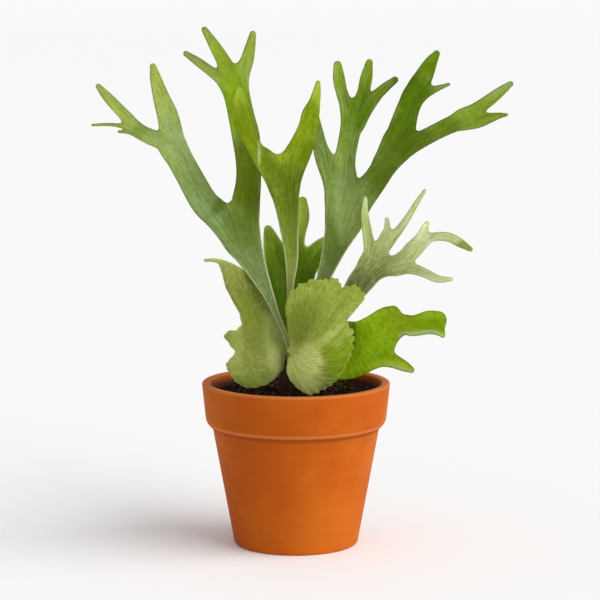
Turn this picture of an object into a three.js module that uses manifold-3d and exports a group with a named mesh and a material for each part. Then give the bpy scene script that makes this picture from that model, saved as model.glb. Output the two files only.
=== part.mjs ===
// Staghorn fern in a terracotta pot. Millimetres, +Z up, origin on the ground under the pot's axis.
// -Y is the front. Every frond grows from the rhizome in the middle of the pot.
import * as THREE from 'three';
import { mergeVertices } from 'three/addons/utils/BufferGeometryUtils.js';
import Module from 'manifold-3d';

// Pot sizes
const POT_HEIGHT = 114.5;
const POT_BASE_RADIUS = 43.5;
const POT_SHOULDER_RADIUS = 58.5;
const BAND_LOWER_RADIUS = 63;
const LIP_RADIUS = 66;
const BAND_HEIGHT = 29;
const LIP_WALL = 6;
const POT_WALL = 5.5;
const POT_FLOOR = 7;
const DRAIN_RADIUS = 7;
const POT_EDGE = 2;
const LIP_EDGE = 1.2;
const BAND_EDGE = 4;
const POT_SIDES = 64;
const POT_COLOUR = 0xb5602f;
const POT_ROUGHNESS = 0.85;

// Potting mix sizes
const MIX_LEVEL = 107;
const MIX_MOUND = 1;
const MIX_ROUGHNESS = 1.2;
const MIX_BUMPS_ROUND = [5, 3];
const MIX_BUMPS_INWARD = [7, -11];
const MIX_RINGS = 8;
const MIX_SIDES = 40;
const MIX_COLOUR = 0x2b2019;
const EARTH_ROUGHNESS = 0.95;

// Rhizome sizes
const RHIZOME_CENTRE = new THREE.Vector3(1, -8, 113);
const RHIZOME_RADII = new THREE.Vector3(12.5, 16, 32);
const RHIZOME_SCALE_HEIGHT = 1.3;
const RHIZOME_SCALES = 7;
const RHIZOME_SCALE_ROWS = 5;
const RHIZOME_RINGS = 16;
const RHIZOME_SIDES = 24;
const RHIZOME_COLOUR = 0x5b4028;

// Clearance between neighbouring pieces, and how close two points are one
const GAP = 0.4;
const MERGE_DISTANCE = 0.001;

// Blade sizes
const BLADE_EDGE = 0.8;
const BLADE_MIDDLE = 1.3;
const STALK_EXTRA = 2.2;
const SHIELD_STALK_EXTRA = 0.4;
const STALK_FADE = 45;
const FORK_FILLET = 4;
const DEPTH_BLEND = 3.5;
const MESH_SPACING = 5.2;
const CROWN = new THREE.Vector2(-3, 135);
const SCALLOP_FULL_REACH = 50;
const LEAF_ROUGHNESS = 0.55;

// Fertile fronds and the young frond
// A rib is a row of points up the middle of a stem or tine: [across, up, depth, half-width],
// with a fifth number where the blade is turned about the rib.
const FERTILE_LEFT = {
  colour: 0x6f9450,
  cup: 2.5,
  ribs: [
    [[-4, 137, -13, 1.6], [-8, 151, -15, 1.9], [-13, 163, -16, 2.2], [-19.5, 179, -16, 3.9],
      [-29, 199, -13, 8.1], [-37.6, 216.5, -8, 12.8], [-43.5, 227, -4, 12.6]],
    [[-39, 216, -8, 9.7], [-54.3, 231.7, 0, 10], [-64, 240.7, 5, 9.6],
      [-75.4, 259.7, 12, 9.1], [-85, 276, 18, 9.1]],
    [[-85, 276, 18, 8.4], [-89, 298, 16, 7.5], [-93.5, 313, 10, 5.6],
      [-96.5, 325, 3, 4], [-98, 334, -3, 2.2]],
    [[-86, 277.5, 18, 6.6], [-97, 283, 21, 5.4], [-109, 288.5, 24, 4.6], [-120.5, 299.5, 28, 4.1],
      [-132, 311.5, 30, 3.4], [-138.5, 319.5, 27, 1.9]],
    [[-102, 284, 22, 3.2], [-115, 290.5, 27, 1.8], [-131, 292.5, 33, 1.1], [-144, 292, 36, 0.9]],
    [[-99, 281.5, 20, 2.4], [-109, 284.5, 25, 1.3], [-117, 287, 28, 0.8], [-125, 287.5, 30, 0.8]],
    [[-37, 215, -8, 11.3], [-35, 238, -1, 10], [-33, 254, 6, 8.7], [-33, 268, 12, 8.8],
      [-35, 285, 18, 9.6], [-38, 298, 24, 9.1], [-41, 311, 29, 9], [-44, 323, 32, 10.1]],
    [[-45, 321, 32, 6.4], [-58, 328.5, 36, 3.6], [-68, 335.5, 41, 3.1], [-78, 342, 46, 1.9]],
    [[-44, 323, 32, 6.9], [-51, 337, 34, 5], [-58, 349, 34, 3.7], [-64, 359, 30, 2.1]],
    [[-42, 322, 32, 7], [-35, 336, 30, 4.9], [-32, 347, 26, 3.6], [-30, 356, 20, 2.2]],
  ],
};
const FERTILE_MIDDLE = {
  colour: 0x7fb32f,
  cup: 3,
  ribs: [
    [[-3, 138, -7, 1.8], [-4, 160, -8, 1.9], [-4, 181, -8, 2.2], [-3, 200, -8, 4.3],
      [-4, 216, -10, 5.6], [-6, 238, -13, 7.9], [-8, 253, -16, 10.3], [-9, 263, -18, 11.6]],
    [[-8, 253, -16, 8.9], [-3, 267, -18, 9.6], [4, 281, -20, 8.2, 0.3], [8.5, 294, -23, 6.5, 0.5],
      [10, 302, -25, 6, 0.5], [12.5, 310, -28, 4, 0.5], [14, 317, -32, 2.8, 0.4], [15, 324, -35, 1.5]],
    [[-8, 253, -16, 8.2], [-19, 268.5, -20, 8], [-28, 280, -26, 5.2, -0.3], [-34, 295, -35, 6.3, -0.8],
      [-37, 309, -43, 5.4, -0.8], [-38, 318, -48, 2.4, -0.5], [-38, 321, -50, 1.2]],
  ],
};
const FERTILE_BACK = {
  colour: 0x4d8a2b,
  cup: 3,
  ribs: [
    [[-3, 133, 0, 2.1], [-5, 148, 7, 6.3], [-4, 162, 13, 11.8], [-3, 177, 18, 16], [-4, 192, 23, 16.8]],
    [[-7, 187, 22, 9.8], [-13.5, 200, 25, 8.6], [-17.5, 212, 24, 5.5], [-19.5, 219.5, 20, 3]],
    [[-3, 192, 23, 9.8], [0.5, 212, 29, 5.7], [4.5, 227, 33, 4.9], [4.5, 238, 36, 3.3]],
    [[0, 189, 22, 9.8], [11, 198, 28, 8.5], [18, 206, 34, 5.7], [25, 212, 40, 2.1]],
  ],
};
const FERTILE_RIGHT = {
  colour: 0x5d9440,
  cup: 2.5,
  ribs: [
    [[2, 135, -3, 1.9], [5, 152, 1, 2.8], [12, 169, 4, 3.6], [19, 186, 8, 4.7], [27, 208, 12, 8.4],
      [33, 224, 15, 12.2], [36, 238, 18, 14]],
    [[34, 228, 16, 11.9], [32, 243, 19, 11.9], [31, 256, 21, 11.2]],
    [[31, 251, 20, 9.1], [23, 263, 20, 7.3], [17.5, 276, 17, 5.4], [15.5, 288, 12, 3.7], [14.5, 298, 6, 1.9]],
    [[31, 254, 21, 9.1], [33.5, 264, 23, 7.8], [35.5, 275, 27, 7], [38.5, 289, 32, 7.4], [41, 301, 35, 8.8]],
    [[40, 295, 34, 5.7], [33, 313, 42, 4.1], [30.5, 324, 46, 4.2], [29.5, 334, 48, 2.8]],
    [[41, 295, 34, 5.7], [47, 314, 38, 4.2], [49.5, 325, 38, 4.2], [51.5, 336, 34, 2.4]],
    [[42, 294, 34, 6.1], [55, 311, 33, 4], [62, 318.5, 28, 3.2], [69, 324.5, 22, 2.1]],
    [[34, 228, 16, 11.9], [46, 243, 16, 9.8], [56, 256, 14, 8.5], [63, 268, 10, 8.7], [70, 280, 5, 10.4]],
    [[67, 276, 7, 8.3], [72.5, 289, 3, 9.2], [77, 305, -3, 7.8], [83.5, 320, -8, 7], [88, 329, -11, 5.9],
      [92, 337, -12, 4.2], [96, 343, -11, 2.2]],
    [[80, 313, -5, 5.5], [86, 315, -9, 4], [94, 318.5, -13, 2.5],
      [99, 320.5, -17, 1.6], [104, 322.5, -20, 1]],
    [[63, 268, 10, 7.7], [73, 276.5, 4, 7.3], [89, 285.5, -4, 5.7], [103, 293.5, -13, 5.7],
      [114, 299, -21, 6.3], [118, 300, -23, 6.1]],
    [[114, 299.5, -21, 5.9], [123, 306.5, -26, 4.3], [131, 312.5, -30, 3.9], [138, 318, -31, 3.2],
      [145, 323, -29, 1.8]],
    [[114, 298, -21, 5.5], [123, 298, -28, 4.9], [130, 300, -34, 3.5], [136, 302, -40, 2.2],
      [141, 303, -46, 1.1]],
  ],
};
const FERTILE_PALE = {
  colour: 0x9ab87e,
  cup: 2,
  ribs: [
    [[3, 137, -11, 1.9], [17, 151, -9, 2.7], [31.7, 167.3, -10, 4.8], [42.5, 183.5, -12, 8.4],
      [49.2, 192.8, -15, 9.3], [54.5, 200.5, -18, 9.9]],
    [[51, 196, -15, 7.2], [51.5, 206, -16, 4.9], [50, 215, -12, 3.6], [48.5, 225, -8, 3.1],
      [47.5, 234, -4, 2.4], [48, 243, 1, 1.4]],
    [[52, 199, -17, 6.8], [58, 209, -19, 5.1], [62, 217, -21, 4.4]],
    [[61, 214, -20, 3.1], [62.5, 224, -18, 2.1], [62.5, 230, -15, 1.4]],
    [[61, 213, -20, 3.4], [68.5, 221, -24, 2.8], [75.5, 231.5, -29, 2.3],
      [81.5, 242.5, -35, 1.8], [87, 252, -42, 1.1]],
    [[52, 198, -17, 7.5], [62, 197.5, -22, 6.3], [71, 201.5, -27, 5.9],
      [78, 209, -32, 5.4], [84, 216, -36, 4]],
    [[80, 211, -33, 4.1], [84.5, 219, -36, 3.4], [87, 225, -35, 2.6], [89, 229, -32, 1.5]],
    [[80, 211, -33, 4.1], [91, 219.5, -40, 3], [102, 221, -47, 3.2], [109.5, 218, -52, 3.1],
      [117, 213.5, -55, 1.6]],
    [[69, 198, -25, 5.6], [78, 198, -31, 4.1], [87, 195.6, -37, 3.2], [96, 192, -42, 2.6],
      [105, 192, -44, 1.3]],
  ],
};
const YOUNG_FROND = {
  colour: 0x76b52c,
  cup: 4,
  ribs: [
    [[3, 129, -14, 2.7], [18, 135, -15, 10.3], [31, 139.3, -17, 20], [42, 141.8, -20, 18.2],
      [54, 149, -26, 14.6]],
    [[48, 147, -23, 13.6], [63, 157, -31, 10.8], [72, 160, -36, 7.4], [80, 160, -40, 7.1],
      [90, 163, -44, 7.4], [96, 165, -47, 5.8]],
    [[90, 163, -44, 6], [95, 160, -48, 4.7], [99, 155, -52, 1.9]],
    [[52, 152, -26, 10.2], [60, 162.5, -29, 8], [66, 168, -34, 4.8]],
    [[46, 138, -23, 11.3], [56, 137, -29, 7.5], [65, 135.5, -38, 5.1], [73, 133, -45, 3.7],
      [78, 131, -50, 2.2]],
  ],
};

// Shield fronds
// A fan spreads round its root: [angle in degrees, reach, depth halfway, depth at the edge].
const SHIELD_LEFT = {
  colour: 0x9aa873,
  stalk: SHIELD_STALK_EXTRA,
  scallops: 22,
  scallopHeight: 0.6,
  root: new THREE.Vector3(-6, 134, -11),
  fan: [
    [92, 8, -10, -10], [100, 17, -11, -11], [105.5, 28, -11, -11], [109.5, 38, -11, -11],
    [112, 48, -11, -11], [114.5, 60, -11, -11], [117.5, 70, -11, -12], [120.5, 77, -12, -16],
    [122.5, 79.5, -12.5, -18.5], [125.5, 77, -14, -22], [128, 71.5, -16, -26], [130, 66, -17, -27.5],
    [132.5, 56, -17.5, -29], [136, 45.5, -18.5, -31], [141, 40, -20, -33], [147, 40.5, -21, -35],
    [152, 45.5, -22, -36], [157, 46.3, -22, -35], [163, 41.5, -22, -33], [171, 36.5, -22, -32],
    [178, 39, -23, -34], [184, 42, -24, -35], [193, 40, -24, -35], [202, 38, -24, -34],
    [211, 35, -23, -33], [219, 30, -22, -31],
    [228, 24, -20, -28], [236, 18, -17, -23], [244, 12, -14, -18], [254, 9, -12, -14], [268, 7, -11.5, -12.5],
    [300, 5, -11, -11.5], [0, 5, -11, -11], [50, 5, -10, -10],
  ],
  ribs: [
    [[-40, 188, -14, 6], [-47, 196, -18, 4], [-52, 201.3, -23, 1.9], [-57, 203, -27, 1.3],
      [-62, 203, -30, 1]],
  ],
};
const SHIELD_RIGHT = {
  colour: 0x86ad55,
  stalk: SHIELD_STALK_EXTRA,
  scallops: 36,
  scallopHeight: 0.7,
  root: new THREE.Vector3(-2, 138, -17.5),
  fan: [
    [240, 8, -19, -19], [248, 12, -21, -22], [257, 16, -23, -24], [268, 20, -25, -26], [281, 25, -29, -30],
    [293, 30, -31, -32], [307, 31, -32, -33], [322, 33, -33, -33], [336, 35, -34, -33], [350, 37, -34, -32],
    [3, 40, -34, -31], [12, 42, -34, -30], [18, 44, -33, -29], [25, 44, -33, -28], [31, 43, -33, -27],
    [33.8, 46, -33, -26.5], [35.4, 53, -33, -25], [37, 60, -32, -24], [40, 64, -32, -22],
    [44, 64.5, -32, -21], [48, 63.5, -32, -20],
    [51, 60, -31, -19], [54, 57, -31, -18], [58, 59, -31, -18], [61, 60, -31, -18], [65, 56, -31, -18],
    [71, 54, -30, -19], [77, 52, -30, -20], [84, 48, -29, -21], [92, 43, -28, -24], [97, 38, -27, -25],
    [100, 31, -26, -25], [103, 15, -21, -21], [110, 6, -18, -18], [160, 4.5, -17.5, -17.5],
    [222, 5, -17.5, -17.5],
  ],
  ribs: [],
};

// Curves and nets
const TAU = 2 * Math.PI;
const RIB_STEP = 3;
const SLOPE_STEP = 0.4;
const WALK_STEP = 0.5;
const WALK_LIMIT = 20000;
const SHORTEST_EDGE = 1.4;
const FINEST_SPACING = 1.8;
const OUTLINE_ERROR = 0.3;
const EDGE_PER_HALF = 1.5;
const RIB_ROOM = 0.8;
const NET_ROOM = 0.7;
const EDGE_ROOM = 2.6;
const NARROWEST_RIBBED = 1.7;
const FULL_DEPTH = 6;
const FAR = 5000;
const BROAD_HALF = 10;
const FAN_HALF = 12;
const FAN_MARGIN = 1.1;
const ACROSS = [-160, 160];
const UP = [100, 370];

const mix = (a, b, t) => a + (b - a) * t;

// A rib as short straight pieces, with the nearest of them to any point of the blade's flat outline
class Rib {
  constructor(rows) {
    const curve = (points) => new THREE.CatmullRomCurve3(points, false, 'catmullrom');
    const path = curve(rows.map(([x, z, depth]) => new THREE.Vector3(x, depth, z)));
    const form = curve(rows.map(([, , , half, turn = 0]) => new THREE.Vector3(half, turn, 0)));
    const count = Math.ceil(path.getLength() / RIB_STEP);
    this.points = Array.from({ length: count + 1 }, (_, i) => {
      const place = path.getPoint(i / count);
      const { x: half, y: turn } = form.getPoint(i / count);
      return { x: place.x, z: place.z, depth: place.y, half, turn };
    });
  }

  near(x, z) {
    let best = { inside: -Infinity };
    for (let i = 1; i < this.points.length; i += 1) {
      const a = this.points[i - 1];
      const b = this.points[i];
      const dx = b.x - a.x;
      const dz = b.z - a.z;
      const length = Math.hypot(dx, dz);
      const t = THREE.MathUtils.clamp(((x - a.x) * dx + (z - a.z) * dz) / length ** 2, 0, 1);
      const away = Math.hypot(x - mix(a.x, b.x, t), z - mix(a.z, b.z, t));
      const half = mix(a.half, b.half, t);
      if (half - away > best.inside) {
        const offset = ((x - a.x) * dz - (z - a.z) * dx) / length;
        const depth = mix(a.depth, b.depth, t) + mix(a.turn, b.turn, t) * offset;
        best = { inside: half - away, depth, half, side: away / half };
      }
    }
    return best;
  }
}

// A fan of veins round its root. Its reach and depth are read off its rows, smoothly, all the way round.
class Fan {
  constructor(root, rows, scallops, scallopHeight) {
    this.root = root;
    this.scallops = scallops;
    this.scallopHeight = scallopHeight;
    this.rows = rows.map(([angle, ...rest]) => [angle / 360, ...rest]).sort((a, b) => a[0] - b[0]);
  }

  read(angle) {
    const turn = (angle / TAU + 1) % 1;
    const next = Math.max(this.rows.findIndex(([start]) => start > turn), 0);
    const pick = (offset) => this.rows[(next + offset + this.rows.length) % this.rows.length];
    const [before, a, b, after] = [pick(-2), pick(-1), pick(0), pick(1)];
    const t = ((turn - a[0] + 1) % 1) / ((b[0] - a[0] + 1) % 1);
    return [1, 2, 3].map((column) => {
      const leaving = (b[column] - before[column]) / 4;
      const arriving = (after[column] - a[column]) / 4;
      const eased = mix(a[column], b[column], t * t * (3 - 2 * t));
      return eased + t * (1 - t) * ((1 - t) * leaving - t * arriving);
    });
  }

  near(x, z) {
    const dx = x - this.root.x;
    const dz = z - this.root.y;
    const away = Math.hypot(dx, dz);
    const angle = Math.atan2(dz, dx);
    const [plain, middle, edge] = this.read(angle);
    const reach = plain + this.scallopHeight * (plain / SCALLOP_FULL_REACH) * Math.cos(this.scallops * angle);
    const t = Math.min(away / reach, FAN_MARGIN);
    const start = this.root.z;
    const depth = start + t * (4 * middle - 3 * start - edge) + t * t * (2 * start - 4 * middle + 2 * edge);
    return { inside: reach - away, depth, half: FAN_HALF, side: Math.min(t, 1) };
  }
}

// One frond: where it is, how deep it lies and how wide it is, for any point of its flat outline
class Frond {
  constructor({ ribs, fan, root, scallops = 0, scallopHeight = 0, cup = 0, stalk = STALK_EXTRA }) {
    this.ribs = ribs.map((rows) => new Rib(rows));
    this.parts = fan ? [new Fan(root, fan, scallops, scallopHeight), ...this.ribs] : this.ribs;
    this.start = root ? new THREE.Vector2(root.x, root.y) : new THREE.Vector2(...ribs[0][0]);
    this.cup = cup;
    this.stalk = stalk;
  }

  near(x, z) {
    const found = this.parts.map((part) => part.near(x, z));
    const top = Math.max(...found.map((one) => one.inside));
    const sum = { inside: -Infinity, weight: 0, depth: 0, half: 0, side: 0 };
    found.forEach((one) => {
      const overlap = Math.max(FORK_FILLET - Math.abs(sum.inside - one.inside), 0);
      sum.inside = Math.max(sum.inside, one.inside) + overlap ** 2 / (4 * FORK_FILLET);
      const share = Math.exp((one.inside - top) / DEPTH_BLEND);
      sum.weight += share;
      sum.depth += share * one.depth;
      sum.half += share * one.half;
      sum.side += share * Math.min(one.side, 1);
    });
    const half = sum.half / sum.weight;
    const cupped = this.cup * (sum.side / sum.weight) ** 2 * Math.min(half / BROAD_HALF, 1);
    return { inside: sum.inside, depth: sum.depth / sum.weight - cupped, half };
  }

  // How fast one of near's values changes across and up
  slope(value, x, z) {
    const change = (dx, dz) => this.near(x + dx, z + dz)[value] - this.near(x - dx, z - dz)[value];
    return new THREE.Vector2(change(SLOPE_STEP, 0), change(0, SLOPE_STEP)).divideScalar(2 * SLOPE_STEP);
  }
}

// Moves a point straight onto the outline
function ontoOutline(frond, point) {
  const passes = 4;
  const gentlest = 0.2;
  for (let pass = 0; pass < passes; pass += 1) {
    const slope = frond.slope('inside', point.x, point.y);
    const miss = frond.near(point.x, point.y).inside;
    point.addScaledVector(slope, -miss / Math.max(slope.lengthSq(), gentlest));
  }
  return point;
}

// Walks round the outline in fine steps
function walkOutline(frond) {
  const start = frond.start.clone();
  while (frond.near(start.x, start.y).inside > 0) start.y -= WALK_STEP;
  const walked = [ontoOutline(frond, start)];
  let left = false;
  while (walked.length < WALK_LIMIT) {
    const point = walked[walked.length - 1].clone();
    const slope = frond.slope('inside', point.x, point.y).normalize();
    point.add(new THREE.Vector2(slope.y, -slope.x).multiplyScalar(WALK_STEP));
    ontoOutline(frond, point);
    const home = point.distanceTo(start);
    if (left && home < WALK_STEP) break;
    left = left || home > 2 * WALK_STEP;
    walked.push(point);
  }
  return walked;
}

// Keeps only the points that the outline's shape needs, closer together where the blade is narrow
function outlineOf(frond) {
  const walked = walkOutline(frond);
  const kept = [walked[0]];
  let from = 0;
  for (let to = 1; to < walked.length; to += 1) {
    const { half } = frond.near(walked[to].x, walked[to].y);
    const longest = THREE.MathUtils.clamp(half * EDGE_PER_HALF, FINEST_SPACING, MESH_SPACING);
    const chord = walked[to].clone().sub(walked[from]);
    const offChord = (point) => Math.abs(point.clone().sub(walked[from]).cross(chord));
    const bend = Math.max(...walked.slice(from, to).map(offChord)) / chord.length();
    if (chord.length() > longest || (bend > OUTLINE_ERROR && chord.length() > SHORTEST_EDGE)) {
      from = to - 1;
      kept.push(walked[from]);
    }
  }
  if (kept[kept.length - 1].distanceTo(kept[0]) < SHORTEST_EDGE / 2) kept.pop();
  return kept;
}

// Points inside the outline: along the ribs, then an even triangular net between them
function fillPoints(frond) {
  const inner = [];
  const clear = (point, room) => inner.every((other) => other.distanceTo(point) > room);
  frond.ribs.forEach((rib) => rib.points.forEach(({ x, z, half }) => {
    const point = new THREE.Vector2(x, z);
    const room = RIB_ROOM * Math.min(half, MESH_SPACING);
    if (half > NARROWEST_RIBBED && clear(point, room)) inner.push(point);
  }));
  const rowHeight = MESH_SPACING * Math.sqrt(0.75);
  for (let row = Math.floor(UP[0] / rowHeight); row * rowHeight < UP[1]; row += 1) {
    const shift = (row % 2) / 2;
    for (let column = Math.floor(ACROSS[0] / MESH_SPACING); column * MESH_SPACING < ACROSS[1]; column += 1) {
      const point = new THREE.Vector2((column + shift) * MESH_SPACING, row * rowHeight);
      if (frond.near(point.x, point.y).inside > 0 && clear(point, NET_ROOM * MESH_SPACING)) inner.push(point);
    }
  }
  return inner;
}

// The edges that a list of triangles uses only once, each with its triangle's direction
function loneEdges(triangles) {
  const edges = new Map();
  triangles.forEach(([a, b, c]) => [[a, b], [b, c], [c, a]].forEach(([from, to]) => {
    if (!edges.delete(`${to} ${from}`)) edges.set(`${from} ${to}`, [from, to]);
  }));
  return [...edges.values()];
}

// Delaunay triangles of a set of points, added one by one inside one huge triangle
function triangulate(points) {
  const huge = [[-FAR, -FAR], [FAR, -FAR], [0, FAR]].map(([x, y]) => new THREE.Vector2(x, y));
  const all = [...points, ...huge];
  const circleThrough = (corners) => {
    const [a, b, c] = corners.map((index) => all[index]);
    const ab = b.clone().sub(a);
    const ac = c.clone().sub(a);
    const scale = 1 / (2 * ab.cross(ac));
    const x = (ac.y * ab.lengthSq() - ab.y * ac.lengthSq()) * scale;
    const y = (ab.x * ac.lengthSq() - ac.x * ab.lengthSq()) * scale;
    return { corners, x: a.x + x, y: a.y + y, square: x * x + y * y };
  };
  let circles = [circleThrough([points.length, points.length + 1, points.length + 2])];
  points.forEach((point, index) => {
    const holds = ({ x, y, square }) => (point.x - x) ** 2 + (point.y - y) ** 2 < square;
    const opened = circles.filter(holds).map(({ corners }) => corners);
    circles = circles.filter((circle) => !holds(circle));
    loneEdges(opened).forEach(([from, to]) => circles.push(circleThrough([from, to, index])));
  });
  return circles.map(({ corners }) => corners).filter((corners) => Math.max(...corners) < points.length);
}

// The flat net of a blade: its points, the outline's first, and its triangles
function netOf(frond) {
  const outline = outlineOf(frond);
  const clearOfEdge = (point) => outline.every((other) => other.distanceTo(point) > EDGE_ROOM);
  const points = [...outline, ...fillPoints(frond).filter(clearOfEdge)];
  const triangles = triangulate(points).filter((corners) => {
    const centre = new THREE.Vector2();
    corners.forEach((index) => centre.addScaledVector(points[index], 1 / corners.length));
    return frond.near(centre.x, centre.y).inside > 0;
  });
  return { points, triangles, edgeCount: outline.length };
}

// A closed thin blade: the same triangles on both faces, and a strip round the outline.
// With "grow" it is that much larger all round, for the room that a neighbour leaves it.
function bladeGeometry(frond, { points, triangles, edgeCount }, grow = 0) {
  const front = [];
  const rear = [];
  points.forEach((point, index) => {
    const onEdge = index < edgeCount;
    const { inside, depth, half } = frond.near(point.x, point.y);
    const slope = frond.slope('depth', point.x, point.y);
    const normal = new THREE.Vector3(-slope.x, 1, -slope.y).normalize();
    const inward = onEdge ? 0 : THREE.MathUtils.clamp(inside / Math.min(half, FULL_DEPTH), 0, 1);
    const middle = BLADE_MIDDLE + frond.stalk * Math.exp(-point.distanceTo(CROWN) / STALK_FADE);
    const thick = mix(BLADE_EDGE, middle, inward * (2 - inward)) + 2 * grow;
    const out = frond.slope('inside', point.x, point.y).normalize().multiplyScalar(onEdge ? -grow : 0);
    const place = new THREE.Vector3(point.x + out.x, depth, point.y + out.y);
    front.push(...place.clone().addScaledVector(normal, -thick / 2));
    rear.push(...place.addScaledVector(normal, thick / 2));
  });
  const behind = points.length;
  const faces = triangles.flatMap(([a, b, c]) => [a, b, c, behind + a, behind + c, behind + b]);
  loneEdges(triangles).forEach(([from, to]) => {
    faces.push(to, from, behind + from, to, behind + from, behind + to);
  });
  return geometryFrom([...front, ...rear], faces);
}

function geometryFrom(vertices, faces) {
  const geometry = new THREE.BufferGeometry();
  geometry.setAttribute('position', new THREE.Float32BufferAttribute(vertices, 3));
  geometry.setIndex(faces);
  return geometry;
}

// Pot, turned round its axis: a tapered body under a deeper, thicker rim band, with a hole in its floor
const BAND_BOTTOM = POT_HEIGHT - BAND_HEIGHT;
const SHOULDER_HEIGHT = BAND_BOTTOM - 3;

const bodyRadius = (z) => mix(POT_BASE_RADIUS, POT_SHOULDER_RADIUS, z / SHOULDER_HEIGHT);

function potGeometry() {
  const inner = LIP_RADIUS - LIP_WALL;
  const profile = [
    [DRAIN_RADIUS, 0], [POT_BASE_RADIUS - POT_EDGE, 0], [POT_BASE_RADIUS, POT_EDGE],
    [POT_SHOULDER_RADIUS, SHOULDER_HEIGHT], [BAND_LOWER_RADIUS - BAND_EDGE, BAND_BOTTOM],
    [BAND_LOWER_RADIUS - BAND_EDGE / 3, BAND_BOTTOM + BAND_EDGE / 3],
    [BAND_LOWER_RADIUS, BAND_BOTTOM + BAND_EDGE], [LIP_RADIUS, POT_HEIGHT - POT_EDGE],
    [LIP_RADIUS - LIP_EDGE, POT_HEIGHT], [inner + LIP_EDGE, POT_HEIGHT],
    [inner, POT_HEIGHT - LIP_EDGE], [bodyRadius(BAND_BOTTOM) - POT_WALL, BAND_BOTTOM],
    [bodyRadius(POT_FLOOR) - POT_WALL - POT_EDGE, POT_FLOOR], [DRAIN_RADIUS, POT_FLOOR], [DRAIN_RADIUS, 0],
  ];
  const outline = profile.map(([radius, z]) => new THREE.Vector2(radius, z));
  return new THREE.LatheGeometry(outline, POT_SIDES).rotateX(Math.PI / 2);
}

// A closed skin over rings of points, from its lowest pole to its highest
function ringsGeometry(rings, sides, place) {
  const vertices = [];
  const faces = [];
  const at = (ring, side) => ring * sides + (side % sides);
  for (let ring = 0; ring <= rings; ring += 1) {
    for (let side = 0; side < sides; side += 1) {
      vertices.push(...place(ring, (TAU * side) / sides));
      const corners = [at(ring, side), at(ring, side + 1), at(ring + 1, side + 1), at(ring + 1, side)];
      const [a, b, c, d] = corners;
      if (ring < rings) faces.push(a, b, c, a, c, d);
    }
  }
  return geometryFrom(vertices, faces);
}

// Potting mix: fills the pot to just under the lip, mounded and rough on top
function mixGeometry() {
  const floor = POT_FLOOR + GAP;
  const lowerWall = bodyRadius(BAND_BOTTOM) - POT_WALL;
  const rim = mix(lowerWall, LIP_RADIUS - LIP_WALL, (MIX_LEVEL - BAND_BOTTOM) / BAND_HEIGHT) - 2 * GAP;
  const under = [
    [0, floor],
    [bodyRadius(floor) - POT_WALL - POT_EDGE - GAP, floor],
    [lowerWall - 2 * GAP, BAND_BOTTOM],
  ];
  return ringsGeometry(under.length - 1 + MIX_RINGS, MIX_SIDES, (ring, angle) => {
    let [radius, z] = under[Math.min(ring, under.length - 1)];
    if (ring >= under.length) {
      const inward = (ring - under.length) / (MIX_RINGS - 1);
      const [first, second] = MIX_BUMPS_ROUND.map((bumps, i) => bumps * angle + MIX_BUMPS_INWARD[i] * inward);
      radius = rim * (1 - inward);
      z = MIX_LEVEL + MIX_MOUND * Math.sin((inward * Math.PI) / 2);
      z += MIX_ROUGHNESS * Math.sin(first) * Math.cos(second) * Math.sin(inward * Math.PI);
    }
    return [radius * Math.cos(angle), radius * Math.sin(angle), z];
  });
}

// Rhizome: an upright lump under rows of overlapping scales, its foot in the mix
function rhizomeGeometry(grow = 0) {
  return ringsGeometry(RHIZOME_RINGS, RHIZOME_SIDES, (ring, angle) => {
    const share = ring / RHIZOME_RINGS;
    const tilt = Math.PI * (share - 0.5);
    const scales = RHIZOME_SCALE_HEIGHT * Math.sin(RHIZOME_SCALES * angle + TAU * RHIZOME_SCALE_ROWS * share);
    const out = Math.cos(tilt);
    return [
      RHIZOME_CENTRE.x + (RHIZOME_RADII.x + scales + grow) * out * Math.cos(angle),
      RHIZOME_CENTRE.y + (RHIZOME_RADII.y + scales + grow) * out * Math.sin(angle),
      RHIZOME_CENTRE.z + (RHIZOME_RADII.z + grow) * Math.sin(tilt),
    ];
  });
}

// Cuts and joins
const wasm = await Module();
wasm.setup();

function solidOf(geometry) {
  const bare = geometry.clone();
  bare.deleteAttribute('normal');
  bare.deleteAttribute('uv');
  const { index, attributes } = mergeVertices(bare, MERGE_DISTANCE);
  const corners = [];
  for (let i = 0; i < index.count; i += 3) {
    const [a, b, c] = [index.getX(i), index.getX(i + 1), index.getX(i + 2)];
    if (a !== b && b !== c && c !== a) corners.push(a, b, c);
  }
  const vertProperties = attributes.position.array;
  const triVerts = Uint32Array.from(corners);
  return new wasm.Manifold(new wasm.Mesh({ numProp: 3, vertProperties, triVerts }));
}

// The whole plant
const group = new THREE.Group();

function addPiece(name, solid, color, roughness) {
  const { vertProperties, triVerts } = solid.getMesh();
  const geometry = geometryFrom(vertProperties, [...triVerts]);
  geometry.computeVertexNormals();
  const mesh = new THREE.Mesh(geometry, new THREE.MeshStandardMaterial({ color, roughness, metalness: 0 }));
  mesh.name = name;
  group.add(mesh);
}

const FRONDS = {
  shield_left: SHIELD_LEFT,
  shield_right: SHIELD_RIGHT,
  fertile_left: FERTILE_LEFT,
  fertile_middle: FERTILE_MIDDLE,
  fertile_back: FERTILE_BACK,
  fertile_right: FERTILE_RIGHT,
  fertile_pale: FERTILE_PALE,
  young_frond: YOUNG_FROND,
};

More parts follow.
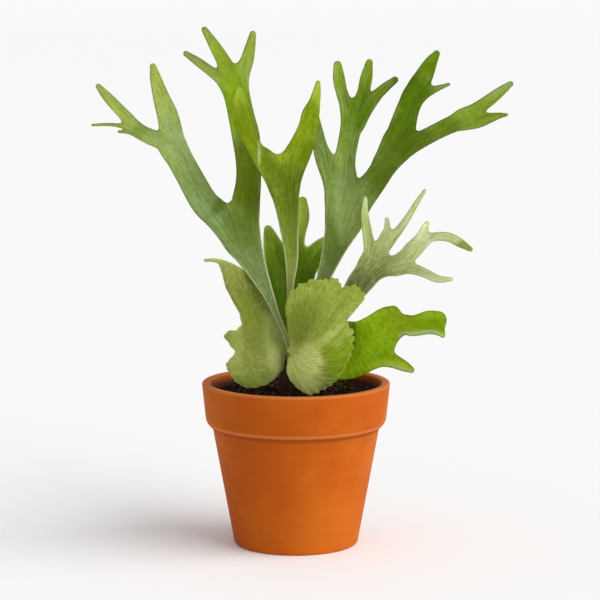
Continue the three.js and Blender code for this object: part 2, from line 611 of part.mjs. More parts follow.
let rhizome = solidOf(rhizomeGeometry());
Object.entries(FRONDS).forEach(([name, shape]) => {
  const frond = new Frond(shape);
  const net = netOf(frond);
  addPiece(name, solidOf(bladeGeometry(frond, net)), shape.colour, LEAF_ROUGHNESS);
  rhizome = rhizome.subtract(solidOf(bladeGeometry(frond, net, shape.fan ? 2 * GAP : GAP)));
});
addPiece('rhizome', rhizome, RHIZOME_COLOUR, EARTH_ROUGHNESS);
addPiece('pot', solidOf(potGeometry()), POT_COLOUR, POT_ROUGHNESS);
const pottingMix = solidOf(mixGeometry()).subtract(solidOf(rhizomeGeometry(GAP)));
addPiece('potting_mix', pottingMix, MIX_COLOUR, EARTH_ROUGHNESS);

export default group;
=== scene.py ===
# A staghorn fern in a terracotta pot. Metres, +Z up, -Y is the front.
# Each section makes one part of the plant, in the order in which it is potted up.
import math
import random

import bmesh
import bpy
import numpy as np
from mathutils import Matrix, Vector, noise


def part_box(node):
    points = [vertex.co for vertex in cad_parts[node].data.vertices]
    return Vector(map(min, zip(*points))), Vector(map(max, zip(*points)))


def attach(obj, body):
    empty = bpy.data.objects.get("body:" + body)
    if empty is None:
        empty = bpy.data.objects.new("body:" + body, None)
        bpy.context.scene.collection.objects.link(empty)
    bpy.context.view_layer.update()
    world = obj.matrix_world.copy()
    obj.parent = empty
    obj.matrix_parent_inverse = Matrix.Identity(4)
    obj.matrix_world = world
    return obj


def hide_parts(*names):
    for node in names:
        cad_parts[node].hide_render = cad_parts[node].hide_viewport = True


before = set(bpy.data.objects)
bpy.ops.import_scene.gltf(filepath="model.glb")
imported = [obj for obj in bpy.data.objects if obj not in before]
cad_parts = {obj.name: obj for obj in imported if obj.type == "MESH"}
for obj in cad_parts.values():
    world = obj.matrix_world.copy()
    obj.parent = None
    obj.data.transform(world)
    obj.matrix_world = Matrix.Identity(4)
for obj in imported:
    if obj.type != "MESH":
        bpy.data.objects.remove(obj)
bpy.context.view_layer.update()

# Pot: thrown from unglazed orange clay, tapered under a deep rim band, with a drain hole.
# The clay is uneven from the wheel. Painted highlights pale the lip and band edge; painted shade darkens the
# groove under the band and, with damp, the wall inside the rim.
MM = 0.001
_, pot_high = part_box("pot")
POT_HEIGHT = pot_high.z
LIP_RADIUS = pot_high.x
POT_BASE_RADIUS = 43.5 * MM
POT_SHOULDER_RADIUS = 58.5 * MM
BAND_LOWER_RADIUS = 63 * MM
BAND_HEIGHT = 29 * MM
BAND_BOTTOM = POT_HEIGHT - BAND_HEIGHT
SHOULDER_HEIGHT = BAND_BOTTOM - 3 * MM
LIP_WALL = 6 * MM
POT_WALL = 5.5 * MM
POT_FLOOR = 7 * MM
DRAIN_RADIUS = 7 * MM
POT_EDGE = 1.6 * MM
BAND_EDGE = 4 * MM
POT_STEPS = 160
BEVEL_STEPS = 4
MERGE_WITHIN = 0.01 * MM
WALL_INSIDE = LIP_RADIUS - LIP_WALL
DAMP_AND_SHADE_DEPTH = 7 * MM
CLAY_RELIEF = 0.3 * MM
WHEEL_MARKS_PRESSED = 26


class Wire:
    """A node's output in a material. Sums on it add Math nodes, and add() makes any other node."""

    def __init__(self, tree, socket=None):
        self.tree = tree
        self.socket = socket

    def add(self, kind, settings, inputs, output=0):
        node = self.tree.nodes.new("ShaderNode" + kind)
        for name, value in settings.items():
            if name == "stops":
                while len(node.color_ramp.elements) < len(value):
                    node.color_ramp.elements.new(0.5)
                for element, (place, colour) in zip(node.color_ramp.elements, value):
                    element.position = place
                    element.color = colour
            else:
                setattr(node, name, value)
        for name, value in inputs.items():
            if isinstance(value, Wire):
                self.tree.links.new(value.socket, node.inputs[name])
            else:
                node.inputs[name].default_value = value
        return Wire(self.tree, node.outputs[output])

    def sum(self, operation, *values):
        return self.add("Math", {"operation": operation}, dict(enumerate(values)))

    def __add__(self, other):
        return self.sum("ADD", self, other)

    def __sub__(self, other):
        return self.sum("SUBTRACT", self, other)

    def __rsub__(self, other):
        return self.sum("SUBTRACT", other, self)

    def __mul__(self, other):
        return self.sum("MULTIPLY", self, other)

    __radd__ = __add__

    def between(self, low, high):
        """0 below low, 1 above high, and a smooth step from one to the other."""
        settings = {"interpolation_type": "SMOOTHSTEP", "clamp": True}
        return self.add("MapRange", settings, {"Value": self, "From Min": low, "From Max": high})

    def tint(self, first, second, blend="MIX"):
        """The first colour where this is 0 and the second where it is 1."""
        settings = {"data_type": "RGBA", "blend_type": blend, "clamp_factor": True}
        return self.add("Mix", settings, {0: self, 6: first, 7: second}, output=2)


def colour(hex_code):
    """A paint colour as linear red, green, blue and full cover."""
    parts = [int(hex_code[i:i + 2], 16) / 255 for i in (0, 2, 4)]
    return tuple(p / 12.92 if p < 0.04 else ((p + 0.055) / 1.055) ** 2.4 for p in parts) + (1.0,)


def new_material(name):
    """An empty material, its place coordinates in metres, and the call that finishes its surface."""
    material = bpy.data.materials.new(name)
    material.use_nodes = True
    tree = material.node_tree
    tree.nodes.clear()
    start = Wire(tree)
    place = start.add("TexCoord", {}, {}, output=3)

    def finish(**inputs):
        sockets = {name.replace("_", " "): value for name, value in inputs.items()}
        surface = start.add("BsdfPrincipled", {}, sockets)
        end = tree.nodes.new("ShaderNodeOutputMaterial")
        tree.links.new(surface.socket, end.inputs["Surface"])

    return material, place, finish


def speckle(place, scale, detail=3.0, roughness=0.55):
    """Soft cloudy noise from 0 to 1, that many spots a metre."""
    inputs = {"Vector": place, "Scale": scale, "Detail": detail, "Roughness": roughness}
    return place.add("TexNoise", {}, inputs)


def relief(height, depth):
    """A bump whose height goes from 0 to depth metres."""
    return height.add("Bump", {}, {"Height": height, "Distance": depth, "Strength": 1.0})


def finish_piece(bm, name, slot, nodes, *materials):
    """Turns a bmesh into a smooth piece that rides on the pot and stands for the CAD nodes."""
    mesh = bpy.data.meshes.new(name)
    bm.to_mesh(mesh)
    bm.free()
    for face in mesh.polygons:
        face.use_smooth = True
    for material in materials:
        mesh.materials.append(material)
    piece = bpy.data.objects.new(name, mesh)
    bpy.context.scene.collection.objects.link(piece)
    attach(piece, "root")
    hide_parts(*nodes)
    return piece


def turned(profile, steps):
    """Spins a row of (radius, height, rounding) corners round the pot's axis, each rounded off first."""
    bm = bmesh.new()
    corners = [bm.verts.new((radius, 0, height)) for radius, height, *_ in profile]
    for pair in zip(corners, corners[1:] + corners[:1]):
        bm.edges.new(pair)
    for corner, (_, _, *rounding) in zip(corners, profile):
        if rounding:
            bmesh.ops.bevel(bm, geom=[corner], affect="VERTICES", offset=rounding[0],
                            segments=BEVEL_STEPS, profile=0.5, material=-1)
    bmesh.ops.spin(
        bm, geom=bm.verts[:] + bm.edges[:], cent=(0, 0, 0), axis=(0, 0, 1), angle=math.tau,
        steps=steps, use_merge=True)
    bmesh.ops.remove_doubles(bm, verts=bm.verts, dist=MERGE_WITHIN)
    bmesh.ops.recalc_face_normals(bm, faces=bm.faces)
    return bm


def body_radius(height):
    """The outer radius of the pot's tapered body at a height."""
    return POT_BASE_RADIUS + (POT_SHOULDER_RADIUS - POT_BASE_RADIUS) * height / SHOULDER_HEIGHT


pot = turned([
    (DRAIN_RADIUS, 0, POT_EDGE), (POT_BASE_RADIUS, 0, POT_EDGE),
    (POT_SHOULDER_RADIUS, SHOULDER_HEIGHT, POT_EDGE / 2), (BAND_LOWER_RADIUS, BAND_BOTTOM, BAND_EDGE),
    (LIP_RADIUS, POT_HEIGHT, POT_EDGE), (WALL_INSIDE, POT_HEIGHT, POT_EDGE),
    (body_radius(BAND_BOTTOM) - POT_WALL, BAND_BOTTOM, POT_EDGE),
    (body_radius(POT_FLOOR) - POT_WALL, POT_FLOOR, POT_EDGE), (DRAIN_RADIUS, POT_FLOOR, POT_EDGE),
], POT_STEPS)

clay, place, surface = new_material("terracotta")
blotches = speckle(place, 14).between(0.3, 0.72)
grain = speckle(place, 700, detail=2)
wheel_marks = place.add("Mapping", {}, {"Vector": place, "Scale": (1, 1, WHEEL_MARKS_PRESSED)})
rings = speckle(wheel_marks, 9, detail=2)
body = blotches.tint(colour("b24f03"), colour("c26410"))
body = (rings.between(0.4, 0.7) * 0.12).tint(body, colour("a0460a"))
body = (grain.between(0.5, 0.8) * 0.12).tint(body, colour("d07a2c"))
axis = place.add("VectorMath", {"operation": "MULTIPLY"}, {0: place, 1: (1, 1, 0)})
from_axis = axis.add("VectorMath", {"operation": "LENGTH"}, {0: axis}, output=1)
height = place.add("SeparateXYZ", {}, {"Vector": place}, output=2)
# Painted highlight: the lip is lightened as if light caught its rounded top.
lip_painted_highlight = height.between(POT_HEIGHT - 2 * MM, POT_HEIGHT - 0.5 * MM)
body = (lip_painted_highlight * 0.4).tint(body, colour("d98a52"))
# Inside the rim the wall is darkened, partly as a damp stain and partly as painted shade in the recess over
# the mix.
inner_wall = 1 - from_axis.between(WALL_INSIDE, WALL_INSIDE + 0.6 * MM)
inside_band = inner_wall * height.between(BAND_BOTTOM, BAND_BOTTOM + MM)
damp_and_painted_shade = inside_band * (1 - height.between(POT_HEIGHT - DAMP_AND_SHADE_DEPTH, POT_HEIGHT - 0.4 * MM))
body = (damp_and_painted_shade * 0.92).tint(body, colour("2c1409"))
# Painted shade: a dark band is painted in the groove under the rim band, where its shadow falls.
into_band = height.between(BAND_BOTTOM - MM, BAND_BOTTOM)
painted_shade_under_band = height.between(BAND_BOTTOM - 5 * MM, BAND_BOTTOM - 2.5 * MM) * (1 - into_band)
body = (painted_shade_under_band * 0.45).tint(body, colour("7a320a"))
# Painted highlight: the band's rounded lower edge is lightened as if lit.
band_edge_painted_highlight = into_band * (1 - height.between(BAND_BOTTOM + MM, BAND_BOTTOM + 2.5 * MM))
body = (band_edge_painted_highlight * 0.4).tint(body, colour("dc8a4c"))
surface(Base_Color=body, Roughness=0.7, Specular_IOR_Level=0.12,
        Normal=relief(rings * 0.35 + grain * 0.25 + blotches * 0.2, CLAY_RELIEF))
finish_piece(pot, "terracotta_pot", "terracotta", ["pot"], clay)

# Potting mix: dark bark compost that fills the pot to just below its lip, mounded to the middle.
# The bulk is one closed body, and crumbs of bark, fibre and grit lie loose on top of it.
MIX_LEVEL = 107 * MM
MIX_MOUND = 1 * MM
MIX_CLEARANCE = 0.5 * MM
MIX_BUMPS = 1.6 * MM
MIX_SPREAD = 1.4 * MM
MIX_TAPER = 2 * MM
MIX_STEPS = 128
MOUND_STEPS = 26
CLODS_A_METRE = 160
GRAINS_A_METRE = 420
CRUMBS = 900
CRUMB_SIZE = (0.5 * MM, 1.7 * MM)
FIBRES = 60
FIBRE_SIZE = (0.35 * MM, 0.6 * MM)
FIBRE_STRETCH = 7

draw = random.Random(4)
mix_radius = body_radius(BAND_BOTTOM) - POT_WALL + MIX_SPREAD
rings_of_mix = [
    (mix_radius * math.cos(t), MIX_LEVEL + MIX_MOUND * math.sin(t))
    for t in np.linspace(0, math.pi / 2, MOUND_STEPS)]
mix_low = body_radius(POT_FLOOR) - POT_WALL - MIX_CLEARANCE
mixture = turned([
    (0, POT_FLOOR + MIX_CLEARANCE), (mix_low, POT_FLOOR + MIX_CLEARANCE),
    (mix_radius - MIX_TAPER, BAND_BOTTOM), *rings_of_mix[:-1], (0, MIX_LEVEL + MIX_MOUND),
], MIX_STEPS)


def mix_height(x, y):
    """How high the rough top of the mix is at a place."""
    away = min(math.hypot(x, y) / mix_radius, 1)
    clods = noise.noise((x * CLODS_A_METRE, y * CLODS_A_METRE, 0))
    rough = clods + 0.6 * noise.noise((x * GRAINS_A_METRE, y * GRAINS_A_METRE, 3))
    return MIX_LEVEL + MIX_MOUND * math.sqrt(1 - away ** 2) + MIX_BUMPS * rough


for vert in mixture.verts:
    if vert.co.z > MIX_LEVEL - MM:
        vert.co.z = mix_height(vert.co.x, vert.co.y)
tone = mixture.verts.layers.float.new("tone")


def scatter(bm, size, stretch, count):
    """Lumps of bark strewn over the mix, each with its own turn, size and tone."""
    for _ in range(count):
        angle = draw.uniform(0, math.tau)
        away = mix_radius * math.sqrt(draw.uniform(0, 0.95))
        x, y = away * math.cos(angle), away * math.sin(angle)
        radius = draw.uniform(*size)
        turn = Matrix.Rotation(draw.uniform(0, math.tau), 4, "Z")
        turn = turn @ Matrix.Rotation(draw.uniform(-0.5, 0.5), 4, "X")
        long = stretch * draw.uniform(0.8, 1.5)
        wide = draw.uniform(0.5, 1)
        shape = Matrix.Diagonal((long, wide, draw.uniform(0.3, 0.7), 1))
        spot = Matrix.Translation((x, y, mix_height(x, y) + 0.2 * radius))
        made = bmesh.ops.create_icosphere(bm, subdivisions=1, radius=radius, matrix=spot @ turn @ shape)
        shade = draw.random() ** 3
        for vert in made["verts"]:
            vert[tone] = shade


scatter(mixture, CRUMB_SIZE, 1, CRUMBS)
scatter(mixture, FIBRE_SIZE, FIBRE_STRETCH, FIBRES)

compost, place, surface = new_material("compost")
lump = place.add("Attribute", {"attribute_name": "tone"}, {}, output=2)
grit = speckle(place, 700, detail=4)
dark = lump.tint(colour("1e140b"), colour("664a30"))
surface(Base_Color=(grit.between(0.5, 0.75) * 0.6).tint(dark, colour("36200c")), Roughness=0.95,
        Specular_IOR_Level=0.05, Normal=relief(grit, 0.8 * MM))
finish_piece(mixture, "dressed_mix", "potting_mix", ["potting_mix"], compost)

# Rhizome: the fern's short woody crown, half buried in the mix, from which every frond grows.
# It is hidden under dry brown papery scales that overlap upwards like shingles, and a tuft of loose
# ones stands out where the two shields meet.
RHIZOME_CENTRE = Vector((1, -8, 113)) * MM
RHIZOME_RADII = Vector((12, 15.5, 31)) * MM
SCALES = 620
SCALE_LENGTH = (3.5 * MM, 7 * MM)
SCALE_WIDTH = 1.3 * MM
SCALE_THICKNESS = 0.5 * MM
SCALE_LEAN = (0.12, 0.35)
LOWEST_SCALES = -0.45
TUFT = Vector((-4.5, -19, 134)) * MM
TUFT_SCALES = 26
TUFT_THICKNESS = 0.3 * MM
GOLDEN_TURN = math.pi * (3 - math.sqrt(5))

crown = bmesh.new()
egg = Matrix.Translation(RHIZOME_CENTRE) @ Matrix.Diagonal((*RHIZOME_RADII, 1))
bmesh.ops.create_uvsphere(crown, u_segments=48, v_segments=32, radius=1, matrix=egg)
tone = crown.verts.layers.float.new("tone")


def add_scale(root, lean, aside, long, wide, thick, shade):
    """One papery scale that springs from its root and leans a way, with a tone of its own."""
    turn = Matrix((aside, lean, aside.cross(lean))).transposed().to_4x4()
    stretch = Matrix.Diagonal((wide, long, thick, 1))
    laid = Matrix.Rotation(-math.pi / 2, 4, "X")
    made = bmesh.ops.create_cone(
        crown, cap_ends=True, segments=8, radius1=1, radius2=0.05, depth=1,
        matrix=Matrix.Translation(root + lean * long * 0.4) @ turn @ stretch @ laid)
    for vert in made["verts"]:
        vert[tone] = shade


for index in range(SCALES):
    level = 1 - 2 * (index + 0.5) / SCALES
    if level < LOWEST_SCALES:
        continue
    angle = index * GOLDEN_TURN
    flat = math.sqrt(1 - level ** 2)
    out = Vector((flat * math.cos(angle), flat * math.sin(angle), level))
    root = RHIZOME_CENTRE + out * RHIZOME_RADII
    outward = Vector(part / radius for part, radius in zip(out, RHIZOME_RADII)).normalized()
    upward = (Vector((0, 0, 1)) - outward * outward.z + Vector((0.05, 0.05, 0))).normalized()
    lean = (upward + outward * draw.uniform(*SCALE_LEAN)).normalized()
    aside = lean.cross(outward).normalized()
    long = draw.uniform(*SCALE_LENGTH)
    add_scale(root, lean, aside, long, SCALE_WIDTH, SCALE_THICKNESS, draw.random())

for _ in range(TUFT_SCALES):
    lean = Vector((draw.uniform(-0.5, 0.4), draw.uniform(-1, 0.1), draw.uniform(0.3, 1.2))).normalized()
    aside = lean.cross(Vector((draw.uniform(-0.5, 0.5), -1, 0.3))).normalized()
    long = draw.uniform(*SCALE_LENGTH)
    add_scale(TUFT, lean, aside, long, 0.5 * SCALE_WIDTH, TUFT_THICKNESS, draw.uniform(0.5, 2))

papery, place, surface = new_material("papery_scales")
lump = place.add("Attribute", {"attribute_name": "tone"}, {}, output=2)
fibre = speckle(place.add("Mapping", {}, {"Vector": place, "Scale": (1, 1, 0.2)}), 1600)
surface(Base_Color=(lump * 0.7 + fibre * 0.3).tint(colour("1e130a"), colour("624224")), Roughness=0.8,
        Specular_IOR_Level=0.3, Normal=relief(fibre, 0.3 * MM))
finish_piece(crown, "scaly_rhizome", "rhizome", ["rhizome"], papery)

# Shield fronds: sterile rounded plates that grow first and clasp the crown, thin and felted, with a
# pale scalloped rim. Each spreads as a fan of veins round the point where it leaves the rhizome.
# The sizes without MM, and all rows of a frond, are in millimetres.
BLADE_EDGE = 0.5
BLADE_MIDDLE = 1.3
STALK_EXTRA = 2.2
STALK_FADE = 45
FORK_FILLET = 4
DEPTH_BLEND = 3.5
BROAD_HALF = 10
FULL_DEPTH = 6
RIB_STEP = 3
FAN_HALF = 12
SCALLOP_FULL_REACH = 50
SMALL_TEETH = 0.6
SOLVER_STEPS = 900
SOLVED = 1e-6
CROWN = (-3, 135)
NET_STEP = 1.0
NET_MARGIN = 6
LONGEST_REACH = 280 * MM
STREAKS_A_METRE = 90
RAY_GRAIN = 1.7
RAMP_RAGGED = 22 * MM
PATCH_RAGGED = 0.9
THROUGH_LEAF = 1000
LEAF_RELIEF = 0.3 * MM
LEAF_SHINE = 0.06


def smooth_path(rows, shares):
    """A smooth curve through rows of numbers, read at shares of its length in rows."""
    rows = np.array([2 * rows[0] - rows[1], *rows, 2 * rows[-1] - rows[-2]])
    spot = np.clip(shares, 0, 1) * (len(rows) - 3)
    first = np.minimum(spot.astype(int), len(rows) - 4)
    t = (spot - first)[:, None]
    before, a, b, after = (rows[first + i] for i in range(4))
    bend = 2 * before - 5 * a + 4 * b - after
    twist = 3 * (a - b) + after - before
    return a + t / 2 * (b - before + t * (bend + t * twist))


class Rib:
    """A stem or tine: the nearest of its short straight pieces to each point of the flat blade."""

    def __init__(self, rows):
        rows = np.array([(*row, 0.0)[:5] for row in rows], float)
        fine = smooth_path(rows, np.linspace(0, 1, 20 * len(rows)))
        length = np.linalg.norm(np.diff(fine[:, :3], axis=0), axis=1).sum()
        self.points = smooth_path(rows, np.linspace(0, 1, math.ceil(length / RIB_STEP) + 1))

    def near(self, x, z):
        inside, depth, half, side = (np.full(x.shape, start) for start in (-1e9, 0.0, 1.0, 1.0))
        for a, b in zip(self.points, self.points[1:]):
            dx, dz = b[0] - a[0], b[1] - a[1]
            length = math.hypot(dx, dz)
            t = np.clip(((x - a[0]) * dx + (z - a[1]) * dz) / length ** 2, 0, 1)
            here = a[:, None] + (b - a)[:, None] * t
            away = np.hypot(x - here[0], z - here[1])
            offset = ((x - a[0]) * dz - (z - a[1]) * dx) / length
            best = here[3] - away > inside
            inside = np.where(best, here[3] - away, inside)
            depth = np.where(best, here[2] + here[4] * offset, depth)
            half = np.where(best, here[3], half)
            side = np.where(best, away / here[3], side)
        return inside, depth, half, side


class Fan:
    """A shield's fan of veins: its rows of angle, reach and depth are read smoothly all the way round."""

    def __init__(self, root, rows, scallops, scallop_height):
        self.root = root
        self.scallops = scallops
        self.scallop_height = scallop_height
        self.rows = np.array(sorted([angle / 360, *rest] for angle, *rest in rows), float)

    def read(self, angle):
        turn = (angle / math.tau) % 1
        after = np.searchsorted(self.rows[:, 0], turn, side="right")
        before, a, b, later = (self.rows[(after + i) % len(self.rows)] for i in (-2, -1, 0, 1))
        t = (((turn - a[:, 0]) % 1) / ((b[:, 0] - a[:, 0]) % 1))[:, None]
        eased = a + (b - a) * t * t * (3 - 2 * t)
        eased = eased + t * (1 - t) * ((1 - t) * (b - before) / 4 - t * (later - a) / 4)
        return eased[:, 1:].T

    def near(self, x, z):
        dx, dz = x - self.root[0], z - self.root[1]
        away = np.hypot(dx, dz)
        angle = np.arctan2(dz, dx)
        plain, middle, edge = self.read(angle)
        wave = np.cos(self.scallops * angle + 2 * np.sin(3 * angle)) * (0.6 + 0.4 * np.sin(5 * angle))
        teeth = np.cos(2.3 * self.scallops * angle + 3 * np.sin(2 * angle))
        reach = plain + self.scallop_height * plain / SCALLOP_FULL_REACH * (wave + SMALL_TEETH * teeth)
        t = np.minimum(away / plain, 1.1)
        start = self.root[2]
        depth = start + t * (4 * middle - 3 * start - edge) + t * t * (2 * start - 4 * middle + 2 * edge)
        return reach - away, depth, np.full(x.shape, float(FAN_HALF)), np.minimum(t, 1)


class Blade:
    """One frond laid out flat: how far inside its outline a point is, how deep it lies and how wide it is."""

    def __init__(self, ribs, cup=0, fan=None):
        self.ribs = [Rib(rows) for rows in ribs]
        self.parts = [fan, *self.ribs] if fan else self.ribs
        self.root = fan.root[:2] if fan else ribs[0][0][:2]
        self.cup = cup

    def near(self, x, z):
        found = [part.near(x, z) for part in self.parts]
        top = np.max([inside for inside, *_ in found], axis=0)
        inside = np.full(x.shape, -1e9)
        total = np.zeros((4,) + x.shape)
        for one, depth, half, side in found:
            overlap = np.maximum(FORK_FILLET - np.abs(inside - one), 0)
            inside = np.maximum(inside, one) + overlap ** 2 / (4 * FORK_FILLET)
            weight = np.exp((one - top) / DEPTH_BLEND)
            total += weight * np.array([np.ones(x.shape), depth, half, np.minimum(side, 1)])
        depth, half, side = total[1:] / total[0]
        return inside, depth - self.cup * side ** 2 * np.minimum(half / BROAD_HALF, 1), half

    def tips(self):
        """The ends of the tines, each with the width of its tine."""
        if isinstance(self.parts[0], Fan):
            return
        starts = [rib.points[0] for rib in self.ribs]
        for rib in self.ribs:
            end = rib.points[-1]
            if all(math.dist(end[:2], start[:2]) > end[3] + 4 for start in starts):
                yield end[:2], 2 * rib.points[0][3]


def cut_sheet(blade):
    """A flat net over the blade, cut off where the blade's outline crosses it."""
    points = np.concatenate([rib.points for rib in blade.ribs]) if blade.ribs else np.zeros((0, 5))
    fan = blade.parts[0]
    if isinstance(fan, Fan):
        turn = np.radians(np.arange(0, 360, 3))
        reach = fan.read(turn)[0]
        rim = np.stack([fan.root[0] + reach * np.cos(turn), fan.root[1] + reach * np.sin(turn)], 1)
        points = np.concatenate([points, np.pad(rim, ((0, 0), (0, 3)))])
    widest = points[:, 3].max() + NET_MARGIN
    low, high = points[:, :2].min(0) - widest, points[:, :2].max(0) + widest
    bm = bmesh.new()
    across, up = (int(size / NET_STEP) for size in high - low)
    spread = Matrix.Translation((*(low + high) / 2, 0)) @ Matrix.Diagonal((*(high - low) / 2, 1, 1))
    bmesh.ops.create_grid(bm, x_segments=across, y_segments=up, size=1, matrix=spread)
    flat = np.array([vert.co[:2] for vert in bm.verts])
    inside, *_ = blade.near(*flat.T)
    far = [vert for vert, value in zip(bm.verts, inside) if value < -4 * NET_STEP]
    for vert, value in zip(bm.verts, inside):
        vert.co.z = value
    bmesh.ops.delete(bm, geom=far, context="VERTS")
    everything = bm.verts[:] + bm.edges[:] + bm.faces[:]
    bmesh.ops.bisect_plane(bm, geom=everything, plane_co=(0, 0, 0), plane_no=(0, 0, 1), clear_inner=True)
    bmesh.ops.remove_doubles(bm, verts=bm.verts, dist=0.25 * NET_STEP)
    for vert in bm.verts:
        vert.co.z = 0
    bm.verts.index_update()
    return bm


def vein_lines(bm, blade, side_veins):
    """A number for each point of a cut sheet that stays level along the veins, from the stalk to the tips."""
    following = {loop.vert.index: loop.link_loop_next.vert.index
                 for edge in bm.edges if edge.is_boundary for loop in edge.link_loops}
    flat = np.array([vert.co[:2] for vert in bm.verts])
    rim = [min(following, key=lambda index: math.dist(flat[index], blade.root))]
    while following.get(rim[-1], rim[0]) != rim[0] and len(rim) <= len(following):
        rim.append(following[rim[-1]])
    rim = np.array(rim)
    lines = np.zeros(len(flat))
    steps = np.linalg.norm(np.diff(flat[rim], axis=0), axis=1)
    lines[rim[1:]] = side_veins * np.cumsum(steps)
    for tip, width in blade.tips():
        spot = np.linalg.norm(flat[rim] - tip, axis=1).argmin()
        lines[rim[spot:]] += width
    fixed = np.zeros(len(flat), bool)
    fixed[list(following)] = True
    ends = np.array([[vert.index for vert in edge.verts] for edge in bm.edges]).T
    degree = np.bincount(ends.ravel(), minlength=len(flat))

    def strain(value):
        pull = sum(np.bincount(ends[i], value[ends[1 - i]], len(flat)) for i in (0, 1))
        return np.where(fixed, 0, degree * value - pull)

    lines = np.where(fixed, lines, lines[fixed].mean())
    left = -strain(lines)
    step = left.copy()
    for _ in range(SOLVER_STEPS):
        moved = strain(step)
        share = left @ left / max(step @ moved, 1e-12)
        lines = lines + share * step
        rest = left - share * moved
        if rest @ rest < SOLVED:
            break
        step = rest + (rest @ rest) / (left @ left) * step
        left = rest
    return lines


def grow_frond(name, node, slot, blade, material, stalk=STALK_EXTRA, side_veins=0.05, smoothing=0):
    """Cuts a frond's sheet, marks its veins and rim, bends it to its depth and gives it its thickness."""
    bm = cut_sheet(blade)
    veins = bm.verts.layers.float.new("veins")
    rim = bm.verts.layers.float.new("rim")
    below = bm.verts.layers.float.new("below")
    lines = vein_lines(bm, blade, side_veins)
    flat = np.array([vert.co[:2] for vert in bm.verts])
    inside, depth, half = blade.near(*flat.T)
    higher, *_ = blade.near(flat[:, 0], flat[:, 1] + NET_STEP / 2)
    lower, *_ = blade.near(flat[:, 0], flat[:, 1] - NET_STEP / 2)
    rise = higher - lower
    inward = np.clip(inside / np.minimum(half, FULL_DEPTH), 0, 1)
    middle = BLADE_MIDDLE + stalk * np.exp(-np.linalg.norm(flat - CROWN, axis=1) / STALK_FADE)
    thick = BLADE_EDGE + (middle - BLADE_EDGE) * inward * (2 - inward)
    for i, vert in enumerate(bm.verts):
        x, z = flat[i]
        vert.co = Vector((x, depth[i], z)) * MM
        vert[veins] = lines[i]
        vert[rim] = max(inside[i], 0)
        vert[below] = rise[i] / NET_STEP
    for _ in range(smoothing):
        bmesh.ops.smooth_vert(bm, verts=bm.verts, factor=0.5, use_axis_y=True)
    bmesh.ops.reverse_faces(bm, faces=bm.faces)
    thickest = float(thick.max())
    piece = finish_piece(bm, name, slot, [node], material)
    group = piece.vertex_groups.new(name="thickness")
    for i, value in enumerate(thick):
        group.add([i], float(value) / thickest, "REPLACE")
    solid = piece.modifiers.new("thickness", "SOLIDIFY")
    solid.thickness = thickest * MM
    solid.offset = 0
    solid.vertex_group = "thickness"


def patch_on(place, clouds, across, up, wide, tall, turn=0):
    """1 on an oval of a leaf and 0 off it, with a soft uneven edge, in millimetres seen from the front.
    The turn is in degrees: it lifts the oval's right end."""
    shifted = place.add("Mapping", {"vector_type": "TEXTURE"}, {
        "Vector": place, "Location": (across * MM, 0, up * MM), "Rotation": (0, -math.radians(turn), 0),
        "Scale": (wide * MM, THROUGH_LEAF, tall * MM)})
    oval = shifted.add("VectorMath", {"operation": "LENGTH"}, {0: shifted}, output=1)
    return 1 - (oval + (clouds - 0.5) * PATCH_RAGGED).between(0.45, 1.2)


def streaky(flow, scale, detail):
    """Noise from 0 to 1 that is drawn out along a leaf's veins."""
    inputs = {"Vector": flow, "Scale": scale, "Detail": detail}
    return flow.add("TexNoise", {"noise_dimensions": "2D"}, inputs)


